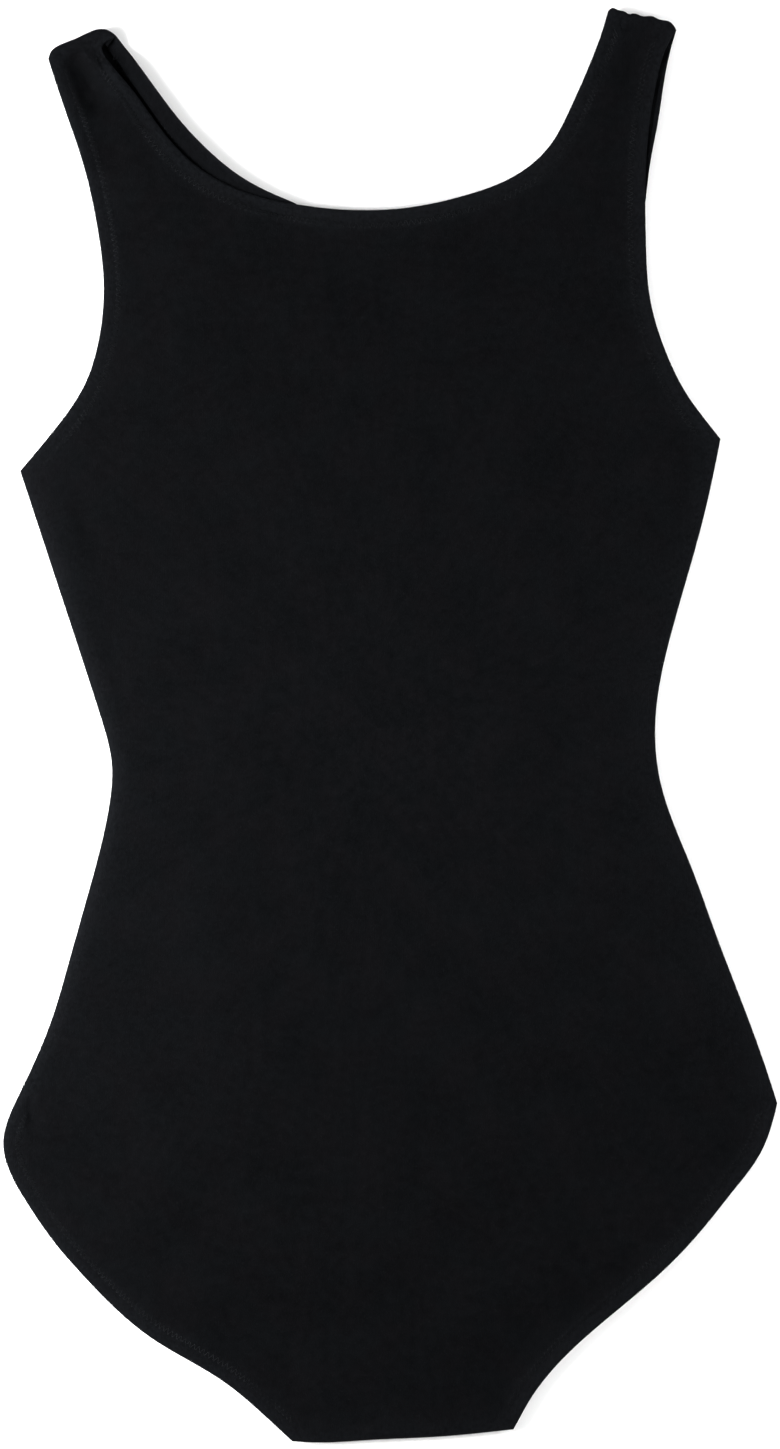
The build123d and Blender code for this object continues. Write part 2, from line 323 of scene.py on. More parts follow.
UNDER_RISE = 1.2           # how far the front's hem stands up beneath the back's
STRIP_RISE = 2.6           # and how much more where it shows beside the back's edge
SLIT = 0.4                 # width of the dark gap between the two
SLIT_MORE = 2.6            # it is this much wider at the edge's ends
SLIT_LESS = 2.5            # and this much narrower, so closed, well away from them


def front_rise(name, s, inside):
    """How far the front stands up off the floor where it shows beside the back's edge."""
    edge = PANELS["front"][name]
    rim = edge.place(s, np.zeros_like(s)).reshape(-1, 2)
    strip = np.array([BACK_TREES[name].find((x, y, 0))[2] for x, y in rim]).reshape(s.shape)
    to_end = np.minimum(s, edge.length - s)
    slit = SLIT + SLIT_MORE * np.exp(-to_end / 14) - SLIT_LESS * smooth_step((to_end - 45) / 40)
    beneath = UNDER_RISE * smooth_step((9.4 - inside) / 2.6)
    beside = STRIP_RISE * smooth_step((strip - inside - slit) / 1.3)
    return (beneath + beside) * smooth_step(strip / 0.8) * smooth_step((to_end - 4) / 14)


# The relief of a hem, and how far inside the folded edge each feature is centred.
PUFF = 0.22                # the back's hems swell between the fold and the stitches
PLEAT, PLEAT_AT = 0.26, 7.4             # each zigzag pulls a pleat into the cloth
RIDGE, RIDGE_AT = 0.11, 7.0             # the cloth stands up beside the stitches
DIP, DIP_AT = 0.12, 4.4                 # and dips before them
PUCKER, PUCKER_AT = 0.13, 3.5           # a seam gathers the cloth beside it
LIP_DIP = 0.3                           # the inner layer follows this share of the dip


def bump_at(inside, centre, width):
    """1 at a distance inside the edge, falling smoothly to 0 on both sides of it."""
    return np.exp(-((inside - centre) / width) ** 2)


def edge_height(panel, name, s, inside, layer="outer"):
    """The height of the cloth beside an edge, on the outer layer or the turned-in lip."""
    edge = PANELS[panel][name]
    s, inside = np.broadcast_arrays(s, inside)
    xy = edge.place(s, inside)
    plain = loft(panel, xy.reshape(-1, 2)).reshape(s.shape)
    puff, pleats = 0.0, 0.0
    if panel == "back":
        puff = PUFF * smooth_step((inside - 0.3) / 1.8) * smooth_step((5.8 - inside) / 2.2)
        stitch = edge.length / round(edge.length / STITCH_PITCH)
        pleats = PLEAT * np.cos(2 * math.pi * s / stitch) * bump_at(inside, PLEAT_AT, 1.4)
        pleats *= 0.6 + 0.4 * np.sin(s / 11)
    elif name in BACK_TREES:
        plain = plain - front_rise(name, s, inside)
    ridge = (RIDGE + 0.07 * np.sin(s / 19 + 1)) * bump_at(inside, RIDGE_AT, 1.0)
    dip = DIP * bump_at(inside, DIP_AT, 1.3) - ridge
    fold = HEM_FOLD * (1 - rounding(inside, HEM_FOLD))
    hem = plain + puff - dip + pleats - fold
    meet, radius = SEAM_SHAPES.get(name, HEM_END_SHAPE)
    pucker = PUCKER * np.sin(s / 1.25 + np.sin(s / 7)) * bump_at(inside, PUCKER_AT, 2.2)
    seam = meet + (plain - meet) * rounding(inside, radius) + pucker
    share = seam_share(name, edge, s)
    outer = hem + (seam - hem) * share
    if layer == "outer":
        return outer
    lip = plain - 2 * HEM_FOLD + fold + LIP_DIP * dip
    return np.maximum(lip + (seam - 2 * CLOTH - lip) * share, SEAM_HEIGHT)


# ---- Meshes ----
UV_PER_METRE = 10


def new_piece(name, vertices, faces, material):
    """A smooth-shaded mesh object from millimetre points."""
    vertices = np.asarray(vertices, float)
    mesh = bpy.data.meshes.new(name)
    mesh.from_pydata((vertices * MM).tolist(), [], [list(map(int, f)) for f in faces])
    mesh.validate()
    piece = bpy.data.objects.new(name, mesh)
    bpy.context.collection.objects.link(piece)
    mesh.materials.append(material)
    mesh.polygons.foreach_set("use_smooth", [True] * len(mesh.polygons))
    return piece


def flat_uv(piece):
    """Keep each point's flat place as UV, ten to the metre, so that the material bends with it."""
    mesh = piece.data
    uv = mesh.uv_layers.new(name="flat")
    co = np.zeros(len(mesh.vertices) * 3)
    mesh.vertices.foreach_get("co", co)
    corner = np.zeros(len(mesh.loops), int)
    mesh.loops.foreach_get("vertex_index", corner)
    xy = co.reshape(-1, 3)[corner][:, :2] * UV_PER_METRE
    uv.data.foreach_set("uv", xy.ravel())


def thicken(piece, thickness):
    """Give a sheet its thickness, half to each side."""
    solidify = piece.modifiers.new("cloth", "SOLIDIFY")
    solidify.thickness = thickness * MM
    solidify.offset = 0
    bpy.context.view_layer.objects.active = piece
    with bpy.context.temp_override(object=piece, active_object=piece):
        bpy.ops.object.modifier_apply(modifier="cloth")


# Painted light at each point: painted highlight on edges, hems and raised folds, painted shade in
# creases.
EDGE_HIGHLIGHT = 0.38           # painted highlight at an edge, where the fuzz catches the light, out of 1
WIDE_HIGHLIGHT = 0.08           # and in a wide band along it
HEM_HIGHLIGHT = 0.045           # on every hem
NECK_HIGHLIGHT = 0.05           # and more on the neck hem
EDGE_REACH, WIDE_REACH = 4.0, 18        # how far in from the edge these two reach
WAIST_LIGHTER = 0.058         # lighter tone all over, most near the waist
WAIST_MIDDLE_Y, WAIST_REACH = 10, 190
HIP_LIGHTER = 0.045           # lighter tone at the left hip
HIP_MIDDLE, HIP_REACH = (-108, -110), (38, 95)
CREASE_SHADE = 0.055            # painted shade in a crease 1 mm deep or more, and painted highlight on a raised fold as high
FRONT_HIGHLIGHT = 0.6           # the front's painted edge and hem highlight is this share of the back's
HEM_BAND = 9.8             # the painted highlight of a hem ends this far inside its edge


def mark_painted_light(piece, panel):
    """Keep at each point of a panel, as an attribute, its painted highlight, painted shade and
    lighter tone.
    """
    painted_light_and_tone = piece.data.attributes.new("painted_light_and_tone", "FLOAT", "POINT")
    for vertex, kept in zip(piece.data.vertices, painted_light_and_tone.data):
        place = Vector((vertex.co.x / MM, vertex.co.y / MM, 0))
        to_edge = EDGE_TREES[panel].find(place)[2]
        to_hem = HEM_TREES[panel].find(place)[2]
        to_neck = BACK_TREES["neck"].find(place)[2]
        on_hem, on_neck = (smooth_step((HEM_BAND - away) / 1.8) for away in (to_hem, to_neck))
        # painted highlight along edges and hems, where the fuzz catches the light
        painted_highlight = EDGE_HIGHLIGHT * math.exp(-to_edge / EDGE_REACH)
        painted_highlight += WIDE_HIGHLIGHT * math.exp(-to_edge / WIDE_REACH)
        painted_highlight += HEM_HIGHLIGHT * on_hem + NECK_HIGHLIGHT * on_neck
        painted_highlight *= 1 if panel == "back" else FRONT_HIGHLIGHT
        waist = math.exp(-((place.y - WAIST_MIDDLE_Y) / WAIST_REACH) ** 2)
        left_hip = math.exp(-((place.x - HIP_MIDDLE[0]) / HIP_REACH[0]) ** 2
                            - ((place.y - HIP_MIDDLE[1]) / HIP_REACH[1]) ** 2)
        # painted shade in creases, painted highlight on raised folds
        hollow = np.clip(crease_depth(place.x, place.y), -1, 1) if panel == "back" else 0
        kept.value = painted_highlight + WAIST_LIGHTER * waist + HIP_LIGHTER * left_hip - CREASE_SHADE * hollow


# How far inside an edge the rows of points lie: of the upper side, a hem's turned-in lip and
# a seam allowance.
RING = np.array([9.5, 8.6, 7.9, 7.3, 6.9, 6.5, 6.2, 5.9, 5.5, 4.8, 3.6, 2.4, 1.5, 0.9,
                 0.5, 0.25, 0.08, 0.0])
LIP = np.array([0.08, 0.25, 0.5, 0.9, 1.6, 3.2, 4.8, 5.7, 6.2, 6.7, HEM])
FLANGE = np.array([0.5, 1.2, 2.6, 4.2, 5.2, ALLOWANCE])
FRONT_LIP = 0.92           # the front's hems are turned in by this share of the back's
MIDDLE_SPACING = {"back": 3.6, "front": 6.0}     # of the points inside the rows


def strip(panel, name, inside, layer):
    """Columns of points across an edge, so far inside it, on a layer of its hem or seam."""
    s = places_along(panel, name)[:, None]
    inside = inside[None, :]
    xy = PANELS[panel][name].place(s, inside)
    if layer == "allowance":
        z = np.full(xy.shape[:2], SEAM_HEIGHT)
    else:
        z = edge_height(panel, name, s, inside, layer)
    return np.concatenate([xy, z[..., None]], axis=2)


def border_strips(panel):
    """The outer layer beside all edges, and the number of each edge's first column in it."""
    strips, starts = [], {}
    total = 0
    for name in CLOCKWISE:
        strips.append(strip(panel, name, RING, "outer"))
        starts[name] = total
        total += len(strips[-1]) - 1
    for i in range(len(CLOCKWISE)):      # a corner's two heights are made the same
        both = (strips[i - 1][-1, :, 2] + strips[i][0, :, 2]) / 2
        strips[i - 1][-1, :, 2] = strips[i][0, :, 2] = both
    return np.concatenate([part[:-1] for part in strips]), starts


def turned_strip(panel, name):
    """What is turned in along an edge: a hem's lip or a seam allowance."""
    if name in SEAMS:
        return strip(panel, name, FLANGE, "allowance")
    return strip(panel, name, LIP * (1 if panel == "back" else FRONT_LIP), "lip")


def between_columns(a, b, size):
    """The faces between two columns of points, whose first points are numbers a and b."""
    return [(a + k, b + k, b + k + 1, a + k + 1) for k in range(size - 1)]


def panel_sheet(panel):
    """One panel as a sheet: its border, turned hems, seam allowances and a filled middle."""
    border, starts = border_strips(panel)
    total, size = border.shape[:2]
    vertices, faces = [border.reshape(-1, 3)], []
    for j in range(total):
        faces += between_columns(j * size, (j + 1) % total * size, size)
    base = total * size
    for name in HEMS + SEAMS:
        turned = turned_strip(panel, name)
        count, width = turned.shape[:2]
        vertices.append(turned.reshape(-1, 3))
        for j in range(count - 1):
            rim_a, rim_b = ((starts[name] + i) % total * size + size - 1 for i in (j, j + 1))
            a, b = base + j * width, base + (j + 1) * width
            faces.append((rim_a, rim_b, b, a))
            faces += between_columns(a, b, width)
        base += count * width
    middle, triangles = fill(border[:, 0, :2], MIDDLE_SPACING[panel])
    vertices.append(np.column_stack([middle, loft(panel, middle)]))
    for triangle in triangles:
        faces.append([i * size if i < total else base + i - total for i in triangle])
    vertices = np.concatenate(vertices)
    vertices[:, 2] = MIDDLE + SIDES[panel] * vertices[:, 2]
    if panel == "front":
        faces = [face[::-1] for face in faces]
    return vertices, faces


def fill(border, spacing):
    """Points and triangles that fill a border; triangles number the border's points first."""
    low, high = border.min(axis=0), border.max(axis=0)
    tree = tree_of(border)
    row_step = spacing * math.sqrt(3) / 2
    inside = []
    for row, y in enumerate(np.arange(low[1], high[1], row_step)):
        for x in np.arange(low[0] + row % 2 * spacing / 2, high[0], spacing):
            if tree.find((x, y, 0))[2] > 0.6 * spacing:
                inside.append((x, y))
    points = [Vector(p) for p in np.concatenate([border, inside])]
    found = geometry.delaunay_2d_cdt(points, [], [list(range(len(border)))], 1, 1e-4)
    origin = [old[0] for old in found[3]]
    used = sorted({origin[i] for face in found[2] for i in face} - set(range(len(border))))
    number = {old: len(border) + i for i, old in enumerate(used)}
    number |= {i: i for i in range(len(border))}
    triangles = []
    for face in found[2]:
        a, b, c = (np.array(points[origin[i]]) for i in face)
        turn = (b[0] - a[0]) * (c[1] - a[1]) - (b[1] - a[1]) * (c[0] - a[0])
        corners = [number[origin[i]] for i in face]
        triangles.append(corners if turn > 0 else corners[::-1])
    return np.array([points[i] for i in used]).reshape(-1, 2), triangles


# ---- Cutting a panel into its body and strap pieces ----
STRAPS = {           # a point on each strap's fold line, and the way along the strap
    "left_strap": (Vector((-104, 265, 0)), Vector((-0.4115, 0.9114, 0))),
    "right_strap": (Vector((113, 266, 0)), Vector((0.3123, 0.95, 0))),
}


def cut_away(piece, point, direction):
    """Remove what lies beyond a point, in a direction, and close the cut."""
    mesh = bmesh.new()
    mesh.from_mesh(piece.data)
    everything = mesh.verts[:] + mesh.edges[:] + mesh.faces[:]
    cut = bmesh.ops.bisect_plane(mesh, geom=everything, dist=1e-7, plane_co=point * MM,
                                 plane_no=direction, clear_outer=True)["geom_cut"]
    rim = [edge for edge in cut if isinstance(edge, bmesh.types.BMEdge)]
    for edge in rim:
        edge.smooth = False
    if rim:
        bmesh.ops.edgeloop_fill(mesh, edges=rim)
    mesh.to_mesh(piece.data)
    mesh.free()


def copy_of(piece, name):
    """A copy of a piece, with its own mesh, under another name."""
    copy = piece.copy()
    copy.data = piece.data.copy()
    copy.name = copy.data.name = name
    bpy.context.collection.objects.link(copy)
    return copy


def join(piece, *others):
    """Put other pieces' meshes into a piece."""
    mesh = bmesh.new()
    for part in (piece, *others):
        mesh.from_mesh(part.data)
    mesh.to_mesh(piece.data)
    mesh.free()
    for part in others:
        bpy.data.objects.remove(part)


def split_by_strap(piece):
    """The body's part of a piece, and each strap's, keyed by where they belong."""
    parts = {"body": piece}
    for strap, (fold, along) in STRAPS.items():
        cut = fold - STRAP_CUT * along
        parts[strap] = copy_of(piece, f"{piece.name}_on_{strap}")
        cut_away(parts[strap], cut, -along)
        if len(parts[strap].data.polygons) == 0:
            bpy.data.objects.remove(parts.pop(strap))
        cut_away(piece, cut, along)
    return parts


def move_with(piece, where):
    """Bake in place a piece that belongs at the waist fold or a strap fold, or fix it to the one
    body it is on.
    """
    if where == "waist":
        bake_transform(piece)
    elif where in STRAPS:
        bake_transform(piece)
    else:
        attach(piece, where)


# ---- Materials ----
WAVE_SCALE = 31.4          # of a wave texture whose ribs are a millimetre apart
NOISE_SCALE = 100          # of a noise texture whose features are a millimetre wide


def add(tree, kind, inputs=None, **settings):
    """Add a node: its settings by name, and its inputs as values or as sockets to link from."""
    made = tree.nodes.new(kind)
    for key, value in settings.items():
        setattr(made, key, value)
    for key, value in (inputs or {}).items():
        if isinstance(value, bpy.types.NodeSocket):
            tree.links.new(value, made.inputs[key])
        else:
            made.inputs[key].default_value = value
    return made


def noise_at(tree, place, size, detail=2.0, roughness=0.5, stretch=(1, 1, 1)):
    """Noise with features of about a size in millimetres."""
    scaled = add(tree, "ShaderNodeMapping", {"Vector": place, "Scale": stretch})
    made = add(tree, "ShaderNodeTexNoise", {"Vector": scaled.outputs[0], "Detail": detail,
                                            "Scale": NOISE_SCALE / size, "Roughness": roughness})
    return made.outputs["Fac"]


def maths(tree, operation, *values):
    """A sum of values or sockets, such as MULTIPLY_ADD: the first by the second, plus the third."""
    return add(tree, "ShaderNodeMath", dict(enumerate(values)), operation=operation).outputs[0]


def sharpen(tree, value, low, high):
    """Spread the values between low and high over 0 to 1."""
    made = add(tree, "ShaderNodeMapRange", {"Value": value, "From Min": low, "From Max": high})
    return made.outputs[0]


def mix_colours(tree, factor, a, b):
    """Colour a at a factor of 0 and b at 1; each of the three is a value or a socket."""
    made = add(tree, "ShaderNodeMix", data_type="RGBA")
    for socket, value in zip((made.inputs[0], made.inputs[6], made.inputs[7]), (factor, a, b)):
        if isinstance(value, bpy.types.NodeSocket):
            tree.links.new(value, socket)
        else:
            socket.default_value = value
    return made.outputs[2]


def new_material(name):
    """A material with one shader, the tree it is in and the shader itself."""
    material = bpy.data.materials.new(name)
    material.use_nodes = True
    tree = material.node_tree
    tree.nodes.clear()
    shader = add(tree, "ShaderNodeBsdfPrincipled")
    add(tree, "ShaderNodeOutputMaterial", {"Surface": shader.outputs[0]})
    return material, tree, shader


WARMTH = 1.12              # how much more red there is in a knit's warm patches
LIGHTENED_BY = 2.6                 # at full strength, a knit's painted highlight and lighter tone are this much lighter than its light tone
LINT = (0.05, 0.052, 0.056, 1)


def warmed(colour):
    """A colour with a little more red in it."""
    red, green, blue, alpha = colour
    return (WARMTH * red, green, blue, alpha)


def knit_colour(tree, place, dark, light, lint_share):
    """Soft uneven patches, some warm, lint, and the painted highlight, painted shade and tone kept
    per point.
    """
    patches = sharpen(tree, noise_at(tree, place, 34, detail=5, roughness=0.74), 0.35, 0.65)
    mottle = sharpen(tree, noise_at(tree, place, 4.4, detail=4, roughness=0.66), 0.32, 0.68)
    tone = sharpen(tree, maths(tree, "MULTIPLY_ADD", mottle, 1.1, patches), 0.05, 2.05)
    warmth = sharpen(tree, noise_at(tree, place, 18, detail=3), 0.4, 0.6)
    cloth = mix_colours(tree, warmth, mix_colours(tree, tone, dark, light),
                        mix_colours(tree, tone, warmed(dark), warmed(light)))
    cloth = mix_colours(tree, lint_share, cloth, LINT)
    grit = sharpen(tree, noise_at(tree, place, 1.7, detail=3, roughness=0.6), 0.36, 0.64)
    uneven = maths(tree, "MULTIPLY_ADD", grit, 1.1, 0.45)
    # painted highlight and shade, with the lighter tone, kept at each point, mix the cloth towards
    # a lighter colour
    painted_light_and_tone = add(tree, "ShaderNodeAttribute", attribute_name="painted_light_and_tone").outputs["Fac"]
    lightened = tuple(LIGHTENED_BY * part for part in light[:3]) + (1,)
    return mix_colours(tree, maths(tree, "MULTIPLY", painted_light_and_tone, uneven), cloth, lightened)


def knit(name, dark, light, wale, fuzz, sheen):
    """A fine brushed knit: ribs of a width in millimetres, lint, and soft uneven patches."""
    material, tree, shader = new_material(name)
    place = add(tree, "ShaderNodeUVMap", uv_map="flat").outputs[0]
    clumps = sharpen(tree, noise_at(tree, place, 3.4, detail=4, roughness=0.65), 0.35, 0.75)
    fibres = sharpen(tree, noise_at(tree, place, 0.55, detail=3, stretch=(1, 0.45, 1)), 0.5, 0.78)
    lint_share = maths(tree, "MULTIPLY", maths(tree, "MULTIPLY", fibres, clumps), fuzz)
    colour = knit_colour(tree, place, dark, light, lint_share)
    tree.links.new(colour, shader.inputs["Base Color"])
    ribs = add(tree, "ShaderNodeTexWave", {"Vector": place, "Scale": WAVE_SCALE / wale,
                                           "Distortion": 1.5, "Detail Scale": 2.0},
               bands_direction="X")
    height = maths(tree, "MULTIPLY_ADD", ribs.outputs["Fac"], 0.35, fibres)
    bump = add(tree, "ShaderNodeBump", {"Height": height, "Strength": 0.5, "Distance": 0.00012})
    tree.links.new(bump.outputs[0], shader.inputs["Normal"])
    rough = add(tree, "ShaderNodeMapRange", {"Value": clumps, "To Min": 0.82, "To Max": 0.95})
    tree.links.new(rough.outputs[0], shader.inputs["Roughness"])
    shader.inputs["Specular IOR Level"].default_value = 0.015
    shader.inputs["Sheen Weight"].default_value = sheen
    shader.inputs["Sheen Roughness"].default_value = 0.3
    shader.inputs["Sheen Tint"].default_value = (0.62, 0.66, 0.74, 1)
    return material


def plied(name, colour, pale, size, roughness):
    """Thread, elastic or woven tape: a twist or rib at one size, and colour that varies a bit."""
    material, tree, shader = new_material(name)
    place = add(tree, "ShaderNodeUVMap", uv_map="flat").outputs[0]
    turns = add(tree, "ShaderNodeTexWave", {"Vector": place, "Scale": WAVE_SCALE / size,
                                            "Distortion": 2.0}, bands_direction="DIAGONAL")
    uneven = noise_at(tree, place, 2.5, detail=3)
    faded = sharpen(tree, noise_at(tree, place, 22), 0.4, 0.6)
    share = maths(tree, "MULTIPLY_ADD", turns.outputs["Fac"], uneven, 0.12)
    share = maths(tree, "MULTIPLY", share, faded)
    tree.links.new(mix_colours(tree, share, colour, pale), shader.inputs["Base Color"])
    bump = add(tree, "ShaderNodeBump", {"Height": turns.outputs["Fac"], "Strength": 0.4,
                                        "Distance": 0.00006})
    tree.links.new(bump.outputs[0], shader.inputs["Normal"])
    shine = add(tree, "ShaderNodeMapRange", {"Value": uneven, "To Min": roughness,
                                             "To Max": roughness + 0.2})
    tree.links.new(shine.outputs[0], shader.inputs["Roughness"])
    shader.inputs["Specular IOR Level"].default_value = 0.03
    return material


JERSEY = knit("jersey", dark=(0.00097, 0.0011, 0.00133, 1), light=(0.0022, 0.00245, 0.0029, 1),
              wale=0.8, fuzz=0.05, sheen=0.018)
LINING = knit("lining", dark=(0.0015, 0.0016, 0.0018, 1), light=(0.0024, 0.0025, 0.003, 1),
              wale=0.6, fuzz=0.04, sheen=0.03)
THREAD = plied("thread", colour=(0.003, 0.0033, 0.0038, 1), pale=(0.0145, 0.0155, 0.0173, 1),
               size=0.5, roughness=0.6)
ELASTIC = plied("elastic", colour=(0.003, 0.003, 0.0033, 1), pale=(0.008, 0.008, 0.009, 1),
                size=0.9, roughness=0.6)
LABEL = plied("label", colour=(0.74, 0.74, 0.71, 1), pale=(0.84, 0.84, 0.82, 1),
              size=0.45, roughness=0.4)


def make_panel(panel):
    """One panel as cloth with a thickness, in its parts keyed by where they belong."""
    sheet = new_piece(f"{panel}_cloth", *panel_sheet(panel), JERSEY)
    thicken(sheet, CLOTH)
    flat_uv(sheet)
    mark_painted_light(sheet, panel)
    return split_by_strap(sheet)


# The back wraps under the crotch: below the crotch seam, the lower layer is the back's too.
panels = {panel: make_panel(panel) for panel in PANELS}
wrap = copy_of(panels["front"]["body"], "wrap")
cut_away(wrap, Vector((0, CROTCH_SEAM_Y, 0)), Vector((0, 1, 0)))
cut_away(panels["front"]["body"], Vector((0, CROTCH_SEAM_Y, 0)), Vector((0, -1, 0)))
join(panels["back"]["body"], wrap)
for panel, parts in panels.items():
    for where, piece in parts.items():
        if where == "body":
            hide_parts(f"{panel}_panel_torso", f"{panel}_panel_hips")
            move_with(piece, "waist")
        else:
            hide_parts(f"{panel}_panel_{where}")
            move_with(piece, where)


# ---- Elastics, inside the hems ----
ELASTIC_INSIDE = np.array([0.8, 2.4, 3.8, 5.2, 6.5])     # its rows of points, from the edge
ELASTIC_THICKNESS = 0.45


def ribbon(panel, hem):
    """A flat elastic along one hem of one panel, half way between the hem's two layers."""
    edge = PANELS[panel][hem]
    s = np.linspace(0, edge.length, max(4, round(edge.length / 3)) + 1)[:, None]
    xy = edge.place(s, ELASTIC_INSIDE[None, :])
    outer = edge_height(panel, hem, s, ELASTIC_INSIDE[None, :])
    lip = edge_height(panel, hem, s, ELASTIC_INSIDE[None, :], layer="lip")
    z = MIDDLE + SIDES[panel] * (outer + lip) / 2
    width = len(ELASTIC_INSIDE)
    faces = []
    for j in range(len(s) - 1):
        faces += between_columns(j * width, (j + 1) * width, width)
    return np.concatenate([xy.reshape(-1, 2), z.reshape(-1, 1)], axis=1), faces


def finish_trim(piece, name, torso_body="torso"):
    """Split a trim by strap, replace its CAD solids, and fix each part to its body or bake it in
    place.
    """
    for where, part in split_by_strap(piece).items():
        body = torso_body if where == "body" else where
        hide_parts(f"{name}_{body}")
        move_with(part, body)


for hem in HEMS:
    ribbons = []
    for panel in PANELS:
        ribbons.append(new_piece(f"{hem}_ribbon", *ribbon(panel, hem), ELASTIC))
        thicken(ribbons[-1], ELASTIC_THICKNESS)
    join(*ribbons)
    flat_uv(ribbons[0])
    finish_trim(ribbons[0], f"{hem}_elastic", "hips" if "leg" in hem else "torso")


# ---- Stitches ----
THREAD_RADIUS = 0.16
THREAD_SIDES = 4
STITCH_PROFILE = [(0.0, -0.2), (0.22, 0.03), (0.78, 0.03), (1.0, -0.2)]   # share along, height


def stitches(legs, up):
    """Short lengths of thread that dip into the cloth at both ends: points and faces."""
    vertices, faces = [], []
    sides = THREAD_SIDES
    for start, end in legs:
        along = end - start
        length = np.linalg.norm(along)
        across = np.cross(along / length, up)
        base = len(vertices)
        for share, rise in STITCH_PROFILE:
            centre = start + along * share + up * rise
            for k in range(sides):
                a = 2 * math.pi * k / sides
                vertices.append(centre + THREAD_RADIUS * (math.cos(a) * across + math.sin(a) * up))
        for ring in range(len(STITCH_PROFILE) - 1):
            for k in range(sides):
                a, b = base + ring * sides + k, base + ring * sides + (k + 1) % sides
                faces.append((a, b, b + sides, a + sides))
        faces.append(tuple(base + k for k in reversed(range(sides))))
        last = base + (len(STITCH_PROFILE) - 1) * sides
        faces.append(tuple(last + k for k in range(sides)))
    return vertices, faces


def hem_zigzag(panel, hem, layer):
    """A row of zigzag stitches along a hem, on its outer or its inner face."""
    edge = PANELS[panel][hem]
    count = 2 * round(edge.length / STITCH_PITCH)
    step = np.arange(4, count - 3)       # the row stops short of the edge's ends
    s = step * edge.length / count
    inside = STITCH_ROW + STITCH_REACH * np.where(step % 2, 1, -1)
    xy = edge.place(s, inside)
    facing = SIDES[panel] * (1 if layer == "outer" else -1)
    z = MIDDLE + SIDES[panel] * edge_height(panel, hem, s, inside, layer)
    z = z + facing * (CLOTH / 2 + 0.03)
    points = np.concatenate([xy, z[:, None]], axis=1)
    return stitches(list(zip(points[:-1], points[1:])), np.array([0.0, 0.0, facing]))


def joined_parts(parts):
    """Several lists of points and faces as one."""
    vertices, faces = [], []
    for part_vertices, part_faces in parts:
        base = len(vertices)
        vertices += list(part_vertices)
        faces += [tuple(base + i for i in face) for face in part_faces]
    return vertices, faces


for hem in HEMS:
    rows = joined_parts([hem_zigzag(panel, hem, layer)
                         for panel in PANELS for layer in ("outer", "lip")])
    piece = new_piece(f"{hem}_stitches", *rows, THREAD)
    flat_uv(piece)
    finish_trim(piece, f"{hem}_stitching", "hips" if "leg" in hem else "torso")


# ---- Seams ----
OVERLOCK_PITCH = 1.9
OVERLOCK_INNER, OVERLOCK_OUTER = 6.3, 3.4       # its legs reach between these, from the seam
OVERLOCK_FACES = [(MIDDLE + 0.7, 1.0), (MIDDLE - 0.7, -1.0)]    # height of its legs, which way up


def overlock(edge, ends):
    """Overlock thread over the raw edges of two allowances: slanting legs above and below."""
    parts = []
    count = round((edge.length - 2 * ends) / OVERLOCK_PITCH)
    s = np.linspace(ends, edge.length - ends, count + 1)
    for height, up in OVERLOCK_FACES:
        legs = []
        for a, b in zip(s[:-1], s[1:]):
            near, far = edge.place(a, OVERLOCK_OUTER), edge.place((a + b) / 2, OVERLOCK_INNER)
            back = edge.place(b, OVERLOCK_OUTER)
            legs.append((np.append(near, height), np.append(far, height)))
            legs.append((np.append(far, height), np.append(back, height)))
        parts.append(stitches(legs, np.array([0.0, 0.0, up])))
    return joined_parts(parts)


for side in ("left", "right"):
    piece = new_piece(f"{side}_side_thread",
                      *overlock(PANELS["back"][f"{side}_side"], ends=7.0), THREAD)
    flat_uv(piece)
    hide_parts(f"{side}_side_seam_torso", f"{side}_side_seam_hips")
    move_with(piece, "waist")
    piece = new_piece(f"{side}_shoulder_thread",
                      *overlock(PANELS["back"][f"{side}_shoulder"], ends=5.0), THREAD)
    flat_uv(piece)
    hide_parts(f"{side}_shoulder_seam_{side}_strap")
    move_with(piece, f"{side}_strap")

# ---- Crotch: the lining, its stitches and the seam's thread, inside the front panel ----
INSIDE_FRONT = MIDDLE - FULL_HEIGHT + CLOTH / 2     # the upper face of the front's cloth
LINING_THICKNESS = 0.4
LINING_INSET = 7.8         # the lining stops this far inside the legs' edges


def between_legs(y, inset):
    """The lowest and highest x between the front panel's leg edges at a y, less an inset."""
    found = []
    for leg in ("left_leg", "right_leg"):
        line = PANELS["front"][leg].line
        order = np.argsort(line[:, 1])
        found.append(np.interp(y, line[order, 1], line[order, 0]))
    return found[0] + inset, found[1] - inset


def grid_faces(rows, columns):
    """The faces of a grid whose points run along its rows."""
    width = columns + 1
    return [(j * width + k, j * width + k + 1, (j + 1) * width + k + 1, (j + 1) * width + k)
            for j in range(rows) for k in range(columns)]


def make_lining():
    """The lining: a sheet across the crotch from one leg hem to the other."""
    rows, columns = 26, 30
    vertices = []
    for y in np.linspace(CROTCH_SEAM_Y + 0.9, LINING_TOP_Y, rows + 1):
        left, right = between_legs(y, LINING_INSET)
        for x in np.linspace(left, right, columns + 1):
            rise = 0.1 * noise.noise((x / 9, y / 11, 2.2))
            vertices.append((x, y, INSIDE_FRONT + 0.45 + rise))
    return new_piece("lining_cloth", vertices, grid_faces(rows, columns), LINING)


def crossing_zigzag(y, inset, reach):
    """A zigzag row across the crotch at a y, on the inside of the front."""
    left, right = between_legs(y, inset)
    count = round((right - left) / STITCH_PITCH) * 2
    x = np.linspace(left, right, count + 1)
    points = np.stack([x, y + reach * np.where(np.arange(count + 1) % 2, 1, -1),
                       np.full(count + 1, INSIDE_FRONT + 0.75)], axis=1)
    return stitches(list(zip(points[:-1], points[1:])), np.array([0.0, 0.0, 1.0]))


lining = make_lining()
thicken(lining, LINING_THICKNESS)
flat_uv(lining)
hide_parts("gusset_lining")
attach(lining, "hips")

